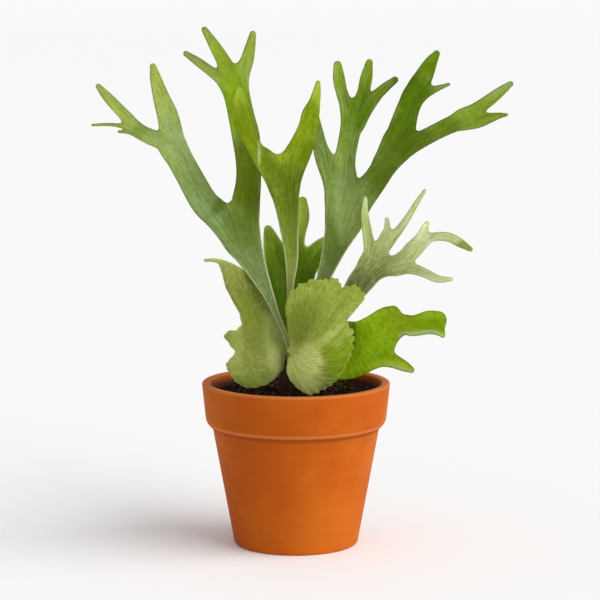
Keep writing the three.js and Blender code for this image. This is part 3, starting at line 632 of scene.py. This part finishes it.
def leaf_material(name, greens, patches, felt, felt_share, streaks=0.5, gloss=0.6, grain=0.85,
                  rims=("b9c08e", "5c6830"), rays=0, rolled=0, silver=0, mottled=0.3):
    """Leaf skin: a green that changes from stalk to tips, streaked along the veins under fine pale hairs.
    Greens are (distance from the crown, colour) and rims the rim's colours at the stalk and further out.
    Patches are (across, up, wide, tall, colour, share), and a turn where one has it."""
    material, place, surface = new_material(name)
    lines = place.add("Attribute", {"attribute_name": "veins"}, {}, output=2)
    rim = place.add("Attribute", {"attribute_name": "rim"}, {}, output=2)
    clouds = speckle(place, 45)
    mottle = speckle(place, 330, detail=2)
    fuzz = speckle(place, 1300, detail=2)
    ends = {0: place, 1: tuple(RHIZOME_CENTRE)}
    away = place.add("VectorMath", {"operation": "DISTANCE"}, ends, output=1)
    along = (away + (clouds - 0.5) * RAMP_RAGGED) * (1 / LONGEST_REACH)
    stops = [(reach * MM / LONGEST_REACH, colour(code)) for reach, code in greens]
    green = along.add("ValToRGB", {"stops": stops}, {"Fac": along})
    flow = place.add("CombineXYZ", {}, {"X": lines, "Y": away * STREAKS_A_METRE})
    fine = streaky(flow, grain, 3.0)
    broad = streaky(flow, grain / 4, 2.0)
    veined = (fine * 0.7 + broad * 0.3) * (1 - mottled) + mottle * mottled
    hairs = veined.between(0.42, 0.64) * 0.6 + fuzz.between(0.4, 0.75) * 0.4
    green = (hairs * felt_share).tint(green, colour(felt))
    bands = broad.between(0.46, 0.62) * clouds.between(0.3, 0.6)
    green = (bands * silver).tint(green, colour("92ab7c"))
    # Some patches are painted light: a lightened cast shadow, or a highlight along a crease or fold.
    for across, up, wide, tall, code, share, *turn in patches:
        spot = patch_on(place, clouds, across, up, wide, tall, *turn)
        green = (spot * share).tint(green, colour(code))
    green = ((1 - veined.between(0.36, 0.6)) * streaks).tint(green, colour("a8ae70"), "MULTIPLY")
    if rays:
        branching = streaky(flow, RAY_GRAIN, 3.0)
        near_root = (1 - away.between(20 * MM, 52 * MM)) * (0.4 + clouds)
        outward = (1 - away.between(20 * MM, 60 * MM) * 0.6) * (0.4 + clouds)
        green = ((1 - branching.between(0.42, 0.5)) * near_root * rays * 0.7).tint(green, colour(felt))
        green = (branching.between(0.52, 0.6) * outward * rays).tint(green, colour("989c58"), "MULTIPLY")
    if rolled:
        below = place.add("Attribute", {"attribute_name": "below"}, {}, output=2)
        outer = place.add("SeparateXYZ", {}, {"Vector": place}).between(58 * MM, 70 * MM)
        strip = below.between(0.5, 0.85) * (1 - rim.between(1.6, 3.4)) * outer
        green = (strip * rolled).tint(green, colour("bccb8e"))
    stalk_to_blade = away.between(95 * MM, 140 * MM)
    border = (1 - rim.between(0.2, 1.1)) * (1 - stalk_to_blade * 0.5) * 0.75
    at_stalk, at_blade = rims
    green = border.tint(green, stalk_to_blade.tint(colour(at_stalk), colour(at_blade)))
    surface(Base_Color=green, Roughness=gloss, Specular_IOR_Level=LEAF_SHINE,
            Subsurface_Weight=0.08, Subsurface_Radius=(0.6, 1.0, 0.1), Subsurface_Scale=0.6 * MM,
            Normal=relief(fine * 0.3 + broad * 0.3 + mottle * 0.4, LEAF_RELIEF))
    return material


# A row of a shield's fan, in degrees and millimetres: angle, reach, depth halfway, depth at the rim.
SHIELD_LEFT = [
    (92, 8, -10, -10), (100, 17, -11, -11), (105.5, 28, -11, -11), (109.5, 38, -11, -11),
    (112, 48, -11, -11), (114.5, 60, -11, -11), (117.5, 70, -11, -12), (120.5, 77, -12, -16),
    (122.5, 79.5, -12.5, -18.5), (125.5, 77, -14, -22), (128, 71.5, -16, -26), (130, 66, -17, -27.5),
    (132.5, 56, -17.5, -29), (136, 45.5, -18.5, -31), (141, 40, -20, -33), (147, 40.5, -21, -35),
    (152, 45.5, -22, -36), (157, 46.3, -22, -35), (163, 41.5, -22, -33), (171, 36.5, -22, -32),
    (178, 39, -23, -34), (184, 42, -24, -35), (193, 40, -24, -35), (202, 38, -24, -34),
    (211, 35, -23, -33), (219, 30, -22, -31), (228, 24, -20, -28), (236, 18, -17, -23),
    (244, 12, -14, -18), (254, 9, -12, -14), (268, 7, -11.5, -12.5), (300, 5, -11, -11.5),
    (0, 5, -11, -11), (50, 5, -10, -10),
]
SHIELD_RIGHT = [
    (240, 8, -19, -19), (248, 12, -21, -22), (257, 16, -23, -24), (268, 20, -25, -26), (281, 25, -29, -30),
    (293, 30, -31, -32), (307, 31, -32, -33), (322, 33, -33, -33), (336, 35, -34, -33),
    (350, 37, -34, -32), (3, 40, -34, -31), (12, 42, -34, -30), (18, 44, -33, -29), (25, 44, -33, -28),
    (31, 43, -33, -27), (33.8, 46, -33, -26.5), (35.4, 53, -33, -25), (37, 60, -32, -24),
    (40, 64, -32, -22), (44, 64.5, -32, -21), (48, 63.5, -32, -20), (51, 60, -31, -19), (54, 57, -31, -18),
    (58, 59, -31, -18), (61, 60, -31, -18), (65, 56, -31, -18), (71, 54, -30, -19), (77, 52, -30, -20),
    (84, 48, -29, -21), (92, 43, -28, -24), (97, 38, -27, -25), (100, 31, -26, -25), (103, 15, -21, -21),
    (110, 6, -18, -18), (160, 4.5, -17.5, -17.5), (222, 5, -17.5, -17.5),
]
SHIELD_CURL = [
    [(-40, 188, -14, 6), (-47, 196, -18, 4), (-52, 201.3, -23, 1.9), (-57, 203, -27, 1.3),
     (-62, 203, -30, 1)],
]
SHIELD_STALK = 0.4
SHIELD_SMOOTHING = 80
SHIELD_GRAIN = 0.45

OLIVE_GREENS = [
    (12, "808a38"), (40, "7b8535"), (58, "747e2f"), (76, "68721a"), (90, "7d8329"), (105, "989e5c"),
]
OLIVE_PATCHES = [
    (-43, 146, 8, 28, "9aa356", 0.7),
    # The next two patches are painted light: they lighten where the right shield's shadow falls on this
    # shield.
    (-14, 150, 12, 20, "a6af62", 0.6),
    (-11, 134, 10, 13, "b7bf6c", 0.55),
    (-30, 160, 8, 26, "6d7724", 0.7, 15),
    (-25, 118, 22, 9, "6c7726", 0.8),
    (-33, 104, 16, 5, "7a8a34", 0.6),
    (-50, 150, 5, 8, "7d8f2c", 0.7),
]
olive = leaf_material(
    "olive_felt", OLIVE_GREENS, OLIVE_PATCHES, "b4b98a", 0.35, streaks=0.15, gloss=0.8, grain=SHIELD_GRAIN,
    rims=("a9b36c", "a9b36c"), rays=0.4, mottled=0.6)
left_fan = Fan((-6, 134, -11), SHIELD_LEFT, 22, 0.8)
grow_frond("shield_left_felt", "shield_left", "shield_frond", Blade(SHIELD_CURL, fan=left_fan), olive,
           SHIELD_STALK, side_veins=1, smoothing=SHIELD_SMOOTHING)
ROUNDED_GREENS = [
    (10, "c8d168"), (25, "cad466"), (40, "a9b83e"), (52, "8fa032"), (65, "8a9a34"), (80, "8e9e32"),
]
ROUNDED_PATCHES = [
    (2, 158, 10, 20, "7c882e", 0.8),
    (9, 166, 10, 14, "7b882f", 0.7),
    (10, 135, 11, 13, "e2ec8c", 0.9),
    (27, 115, 17, 14, "627804", 0.95),
    (31, 130, 14, 13, "728e00", 1),
    (24, 140, 9, 7, "7f980c", 0.9),
    (35, 143, 5, 9, "7a9310", 0.8),
    # Painted highlight: a pale streak along the ridge of the crease.
    (19, 149, 18, 4, "ccd780", 0.45, 38),
]
rounded = leaf_material(
    "shield_green", ROUNDED_GREENS, ROUNDED_PATCHES, "c6cd92", 0.28, streaks=0.22, gloss=0.75,
    grain=SHIELD_GRAIN, rims=("98a848", "98a848"), rays=1, mottled=0.5)
right_fan = Fan((-2, 138, -17.5), SHIELD_RIGHT, 44, 1.1)
grow_frond("shield_right_felt", "shield_right", "shield_frond", Blade([], fan=right_fan), rounded,
           SHIELD_STALK, side_veins=1, smoothing=SHIELD_SMOOTHING)

# Fertile fronds: long forked blades of grey-green to yellow-green leaf, felted with fine pale hairs.
# Each grew flat and forked again and again, so its veins run lengthwise from the stalk into every tine.
# A rib is a row of points up a stem or tine, in millimetres: across, up, depth, half-width, turn.
FERTILE_LEFT = [
    [(-4, 137, -13, 1.6), (-8, 151, -15, 1.9), (-13, 163, -16, 2.2), (-19.5, 179, -16, 3.9),
     (-29, 199, -13, 8.1), (-37.6, 216.5, -8, 12.8), (-43.5, 227, -4, 12.6)],
    [(-39, 216, -8, 9.7), (-54.3, 231.7, 0, 10), (-64, 240.7, 5, 9.6), (-75.4, 259.7, 12, 9.1),
     (-85, 276, 18, 9.1)],
    [(-85, 276, 18, 8.4), (-89, 298, 16, 7.5), (-93.5, 313, 10, 5.6), (-96.5, 325, 3, 4),
     (-98, 334, -3, 2.2)],
    [(-86, 277.5, 18, 6.6), (-97, 283, 21, 5.4), (-109, 288.5, 24, 4.6), (-120.5, 299.5, 28, 4.1),
     (-132, 311.5, 30, 3.4), (-138.5, 319.5, 27, 1.9)],
    [(-102, 284, 22, 3.2), (-115, 290.5, 27, 1.8), (-131, 292.5, 33, 1.1), (-144, 292, 36, 0.9)],
    [(-99, 281.5, 20, 2.4), (-109, 284.5, 25, 1.3), (-117, 287, 28, 0.8), (-125, 287.5, 30, 0.8)],
    [(-37, 215, -8, 11.3), (-35, 238, -1, 10), (-33, 254, 6, 8.7), (-33, 268, 12, 8.8),
     (-35, 285, 18, 9.6), (-38, 298, 24, 9.1), (-41, 311, 29, 9), (-44, 323, 32, 10.1)],
    [(-45, 321, 32, 6.4), (-58, 328.5, 36, 3.6), (-68, 335.5, 41, 3.1), (-78, 342, 46, 1.9)],
    [(-44, 323, 32, 6.9), (-51, 337, 34, 5), (-58, 349, 34, 3.7), (-64, 359, 30, 2.1)],
    [(-42, 322, 32, 7), (-35, 336, 30, 4.9), (-32, 347, 26, 3.6), (-30, 356, 20, 2.2)],
]
FERTILE_MIDDLE = [
    [(-3, 138, -7, 1.8), (-4, 160, -8, 1.9), (-4, 181, -8, 2.2), (-3, 200, -8, 4.3), (-4, 216, -10, 5.6),
     (-6, 238, -13, 7.9), (-8, 253, -16, 10.3), (-9, 263, -18, 11.6)],
    [(-8, 253, -16, 8.9), (-3, 267, -18, 9.6), (4, 281, -20, 8.2, 0.3), (8.5, 294, -23, 6.5, 0.5),
     (10, 302, -25, 6, 0.5), (12.5, 310, -28, 4, 0.5), (14, 317, -32, 2.8, 0.4), (15, 324, -35, 1.5)],
    [(-8, 253, -16, 8.2), (-19, 268.5, -20, 8), (-28, 280, -26, 5.2, -0.3), (-34, 295, -35, 6.3, -0.8),
     (-37, 309, -43, 5.4, -0.8), (-38, 318, -48, 2.4, -0.5), (-38, 321, -50, 1.2)],
]
FERTILE_BACK = [
    [(-3, 133, 0, 2.1), (-5, 148, 7, 6.3), (-4, 162, 13, 11.8), (-3, 177, 18, 16), (-4, 192, 23, 16.8)],
    [(-7, 187, 22, 9.8), (-13.5, 200, 25, 8.6), (-17.5, 212, 24, 5.5), (-19.5, 219.5, 20, 3)],
    [(-3, 192, 23, 9.8), (0.5, 212, 29, 5.7), (4.5, 227, 33, 4.9), (4.5, 238, 36, 3.3)],
    [(0, 189, 22, 9.8), (11, 198, 28, 8.5), (18, 206, 34, 5.7), (25, 212, 40, 2.1)],
]
FERTILE_RIGHT = [
    [(2, 135, -3, 1.9), (5, 152, 1, 2.8), (12, 169, 4, 3.6), (19, 186, 8, 4.7), (27, 208, 12, 8.4),
     (33, 224, 15, 12.2), (36, 238, 18, 14)],
    [(34, 228, 16, 11.9), (32, 243, 19, 11.9), (31, 256, 21, 11.2)],
    [(31, 251, 20, 9.1), (23, 263, 20, 7.3), (17.5, 276, 17, 5.4), (15.5, 288, 12, 3.7),
     (14.5, 298, 6, 1.9)],
    [(31, 254, 21, 9.1), (33.5, 264, 23, 7.8), (35.5, 275, 27, 7), (38.5, 289, 32, 7.4),
     (41, 301, 35, 8.8)],
    [(40, 295, 34, 5.7), (33, 313, 42, 4.1), (30.5, 324, 46, 4.2), (29.5, 334, 48, 2.8)],
    [(41, 295, 34, 5.7), (47, 314, 38, 4.2), (49.5, 325, 38, 4.2), (51.5, 336, 34, 2.4)],
    [(42, 294, 34, 6.1), (55, 311, 33, 4), (62, 318.5, 28, 3.2), (69, 324.5, 22, 2.1)],
    [(34, 228, 16, 11.9), (46, 243, 16, 9.8), (56, 256, 14, 8.5), (63, 268, 10, 8.7), (70, 280, 5, 10.4)],
    [(67, 276, 7, 8.3), (72.5, 289, 3, 9.2), (77, 305, -3, 7.8), (83.5, 320, -8, 7), (88, 329, -11, 5.9),
     (92, 337, -12, 4.2), (96, 343, -11, 2.2)],
    [(80, 313, -5, 5.5), (86, 315, -9, 4), (94, 318.5, -13, 2.5), (99, 320.5, -17, 1.6),
     (104, 322.5, -20, 1)],
    [(63, 268, 10, 7.7), (73, 276.5, 4, 7.3), (89, 285.5, -4, 5.7), (103, 293.5, -13, 5.7),
     (114, 299, -21, 6.3), (118, 300, -23, 6.1)],
    [(114, 299.5, -21, 5.9), (123, 306.5, -26, 4.3), (131, 312.5, -30, 3.9), (138, 318, -31, 3.2),
     (145, 323, -29, 1.8)],
    [(114, 298, -21, 5.5), (123, 298, -28, 4.9), (130, 300, -34, 3.5), (136, 302, -40, 2.2),
     (141, 303, -46, 1.1)],
]
FERTILE_PALE = [
    [(3, 137, -11, 1.9), (17, 151, -9, 2.7), (31.7, 167.3, -10, 4.8), (42.5, 183.5, -12, 8.4),
     (49.2, 192.8, -15, 9.3), (54.5, 200.5, -18, 9.9)],
    [(51, 196, -15, 7.2), (51.5, 206, -16, 4.9), (50, 215, -12, 3.6), (48.5, 225, -8, 3.1),
     (47.5, 234, -4, 2.4), (48, 243, 1, 1.4)],
    [(52, 199, -17, 6.8), (58, 209, -19, 5.1), (62, 217, -21, 4.4)],
    [(61, 214, -20, 3.1), (62.5, 224, -18, 2.1), (62.5, 230, -15, 1.4)],
    [(61, 213, -20, 3.4), (68.5, 221, -24, 2.8), (75.5, 231.5, -29, 2.3), (81.5, 242.5, -35, 1.8),
     (87, 252, -42, 1.1)],
    [(52, 198, -17, 7.5), (62, 197.5, -22, 6.3), (71, 201.5, -27, 5.9), (78, 209, -32, 5.4),
     (84, 216, -36, 4)],
    [(80, 211, -33, 4.1), (84.5, 219, -36, 3.4), (87, 225, -35, 2.6), (89, 229, -32, 1.5)],
    [(80, 211, -33, 4.1), (91, 219.5, -40, 3), (102, 221, -47, 3.2), (109.5, 218, -52, 3.1),
     (117, 213.5, -55, 1.6)],
    [(69, 198, -25, 5.6), (78, 198, -31, 4.1), (87, 195.6, -37, 3.2), (96, 192, -42, 2.6),
     (105, 192, -44, 1.3)],
]

GREY_GREEN_GREENS = [
    (40, "a8b264"), (65, "74834a"), (110, "788c46"), (135, "869e56"), (160, "859c52"), (190, "a4ba66"),
    (236, "b2c653"), (262, "8fa030"),
]
GREY_GREEN_PATCHES = [
    (-36, 232, 15, 30, "6d8233", 0.9),
    (-34, 266, 16, 40, "5f7410", 1),
    (-44, 305, 20, 22, "7c990a", 1),
    (-50, 338, 18, 20, "96b026", 0.9),
    (-43, 320, 14, 12, "8dad16", 0.8),
    (-31, 343, 8, 22, "a8bd4c", 0.8),
    (-52, 240, 5, 14, "5f7a28", 0.8, -35),
    (-108, 290, 14, 6, "7fa03c", 0.6, 35),
]
grey_green = leaf_material(
    "grey_green_leaf", GREY_GREEN_GREENS, GREY_GREEN_PATCHES, "b4c08a", 0.2, silver=0.5)
grow_frond("left_frond", "fertile_left", "fertile_frond", Blade(FERTILE_LEFT, 2.5), grey_green)
YELLOW_GREEN_GREENS = [
    (75, "8d9950"), (95, "7e9034"), (122, "697f17"), (145, "657c06"), (165, "80980d"), (190, "8ba404"),
    (210, "b4cc30"),
]
YELLOW_GREEN_PATCHES = [
    (9, 276, 8, 12, "6d8604", 0.9),
    (10, 302, 6, 16, "728c00", 0.6),
    (-18, 270, 6, 10, "6a7e18", 0.9),
    (-35, 293, 10, 20, "8aa308", 0.9),
    (-11, 274, 8, 6, "93ac24", 0.7),
    # Painted highlight: a thin pale line along the fold of the left lobe.
    (-25, 276, 1.1, 10, "b4be7c", 0.9),
]
yellow_green = leaf_material(
    "yellow_green_leaf", YELLOW_GREEN_GREENS, YELLOW_GREEN_PATCHES, "b6c070", 0.15, gloss=0.5)
grow_frond("middle_frond", "fertile_middle", "fertile_frond", Blade(FERTILE_MIDDLE, 3), yellow_green)
DARK_GREEN_GREENS = [
    (60, "56700f"), (80, "4f6c00"), (98, "69860a"), (110, "93ae36"), (125, "b8ce4c"),
]
dark_green = leaf_material(
    "dark_green_leaf", DARK_GREEN_GREENS, [], "9aaa62", 0.08, streaks=0.35, gloss=0.5)
grow_frond("back_frond", "fertile_back", "fertile_frond", Blade(FERTILE_BACK, 3), dark_green)
MID_GREEN_GREENS = [
    (75, "72803e"), (96, "6a7e32"), (112, "778c3e"), (130, "7d9440"), (155, "799238"), (185, "7a942a"),
    (222, "92ae22"), (245, "90ac24"), (264, "6f8c1c"),
]
MID_GREEN_PATCHES = [
    (33, 238, 10, 26, "92a860", 0.8),
    (24, 212, 6, 24, "647a30", 0.7),
    (62, 258, 16, 22, "627b1b", 0.95),
    (72, 285, 18, 20, "617b12", 1),
    (81, 314, 15, 26, "608008", 1),
    (94, 336, 14, 14, "6a8a08", 1),
    (45, 303, 11, 22, "668706", 0.8),
    (128, 304, 30, 12, "94b034", 0.9),
    (104, 292, 14, 10, "78941e", 0.9),
    (88, 284, 11, 9, "68821c", 0.9),
]
mid_green = leaf_material(
    "mid_green_leaf", MID_GREEN_GREENS, MID_GREEN_PATCHES, "b0bc88", 0.2, silver=0.4)
grow_frond("right_frond", "fertile_right", "fertile_frond", Blade(FERTILE_RIGHT, 2.5), mid_green)
FELTED_GREENS = [
    (88, "747e2e"), (98, "828f3d"), (106, "99a854"), (116, "bbc87c"), (126, "c8d48d"), (142, "e0ebb4"),
    (156, "dde8a0"),
]
FELTED_PATCHES = [
    (112, 214, 8, 6, "768d17", 0.8),
    (48, 226, 8, 16, "c1d57e", 0.7),
    (92, 190, 14, 8, "dae4b0", 0.6),
]
felted = leaf_material(
    "felted_leaf", FELTED_GREENS, FELTED_PATCHES, "d8dfbc", 0.35, gloss=0.8, rims=("b9c08e", "8f9c5c"))
grow_frond("pale_frond", "fertile_pale", "fertile_frond", Blade(FERTILE_PALE, 2), felted)

# Young frond: the newest blade, soft and bright green, still wide with blunt lobes and a wavy rim.
# It has grown out low over the lip, with its underside showing along the lower edge.
YOUNG_FROND = [
    [(3, 129, -14, 2.7), (18, 135, -15, 10.3), (31, 139.3, -17, 20), (42, 141.8, -20, 18.2),
     (54, 149, -26, 14.6)],
    [(48, 147, -23, 13.6), (63, 157, -31, 10.8), (72, 160, -36, 7.4), (80, 160, -40, 7.1),
     (90, 163, -44, 7.4), (96, 165, -47, 5.8)],
    [(90, 163, -44, 6), (95, 160, -48, 4.7), (99, 155, -52, 1.9)],
    [(52, 152, -26, 10.2), (60, 162.5, -29, 8), (66, 168, -34, 4.8)],
    [(46, 138, -23, 11.3), (56, 137, -29, 7.5), (65, 135.5, -38, 5.1), (73, 133, -45, 3.7),
     (78, 131, -50, 2.2)],
]

FRESH_GREENS = [
    (40, "94b804"), (55, "92ba06"), (66, "96bf08"), (80, "97b80e"), (96, "8cab0e"), (114, "97b516"),
]
FRESH_PATCHES = [
    (45, 153, 12, 8, "83a606", 0.8),
    (57, 162, 8, 5, "8fae14", 0.8),
    (66, 130, 16, 6, "c0da33", 0.8),
    (94, 161, 18, 5, "83a400", 0.9),
    (98, 152, 13, 4, "c5e04d", 0.8),
    (44, 121, 16, 5, "88a605", 0.8),
]
fresh = leaf_material(
    "fresh_leaf", FRESH_GREENS, FRESH_PATCHES, "b8cf5e", 0.12, streaks=0.35, gloss=0.45,
    rims=("6c8a18", "6c8a18"), rolled=0.75, mottled=0.5)
grow_frond("young_frond_blade", "young_frond", "young_frond", Blade(YOUNG_FROND, 4), fresh, side_veins=0.5)

# Studio: a plain white floor and a broad soft light from the right, seen from a little above the lip.
FLOOR_SIZE = 200
CAMERA_PLACE = Vector((2.8, -1487, 368)) * MM
CAMERA_AIM = Vector((2.8, 0, 172)) * MM
CAMERA_LENS = 129
CAMERA_SENSOR = 36
SUN_FROM = Vector((1.4, -0.6, 0.8))
SUN_STRENGTH = 3.0
SUN_SOFTNESS = math.radians(70)
ROOM_LIGHT = 0.54
BACKDROP = 0.955
FLOOR_WHITE = 0.97

floor_mesh = bmesh.new()
bmesh.ops.create_grid(floor_mesh, x_segments=1, y_segments=1, size=FLOOR_SIZE / 2)
floor_data = bpy.data.meshes.new("floor")
floor_mesh.to_mesh(floor_data)
floor_mesh.free()
floor = bpy.data.objects.new("floor", floor_data)
bpy.context.scene.collection.objects.link(floor)
white, _, surface = new_material("white_floor")
surface(Base_Color=(FLOOR_WHITE, FLOOR_WHITE, FLOOR_WHITE, 1), Roughness=1.0)
floor_data.materials.append(white)


def aim(thing, place, target):
    """Puts a lamp or camera at a place and points it at a target."""
    thing.location = place
    thing.rotation_euler = (target - place).to_track_quat("-Z", "Y").to_euler()
    bpy.context.scene.collection.objects.link(thing)


sun = bpy.data.lights.new("window_light", "SUN")
sun.energy = SUN_STRENGTH
sun.angle = SUN_SOFTNESS
aim(bpy.data.objects.new("window_light", sun), SUN_FROM, Vector((0, 0, 0)))

bpy.context.scene.view_settings.view_transform = "Standard"
world = bpy.data.worlds.new("studio")
bpy.context.scene.world = world
world.use_nodes = True
world.node_tree.nodes.clear()
room = Wire(world.node_tree)
seen = room.add("LightPath", {}, {})
glow = seen.tint((ROOM_LIGHT,) * 3 + (1,), (BACKDROP,) * 3 + (1,))
light = room.add("Background", {}, {"Color": glow})
world_end = world.node_tree.nodes.new("ShaderNodeOutputWorld")
world.node_tree.links.new(light.socket, world_end.inputs["Surface"])

camera_data = bpy.data.cameras.new("camera")
camera_data.lens = CAMERA_LENS
camera_data.sensor_width = CAMERA_SENSOR
camera = bpy.data.objects.new("camera", camera_data)
aim(camera, CAMERA_PLACE, CAMERA_AIM)
bpy.context.scene.camera = camera
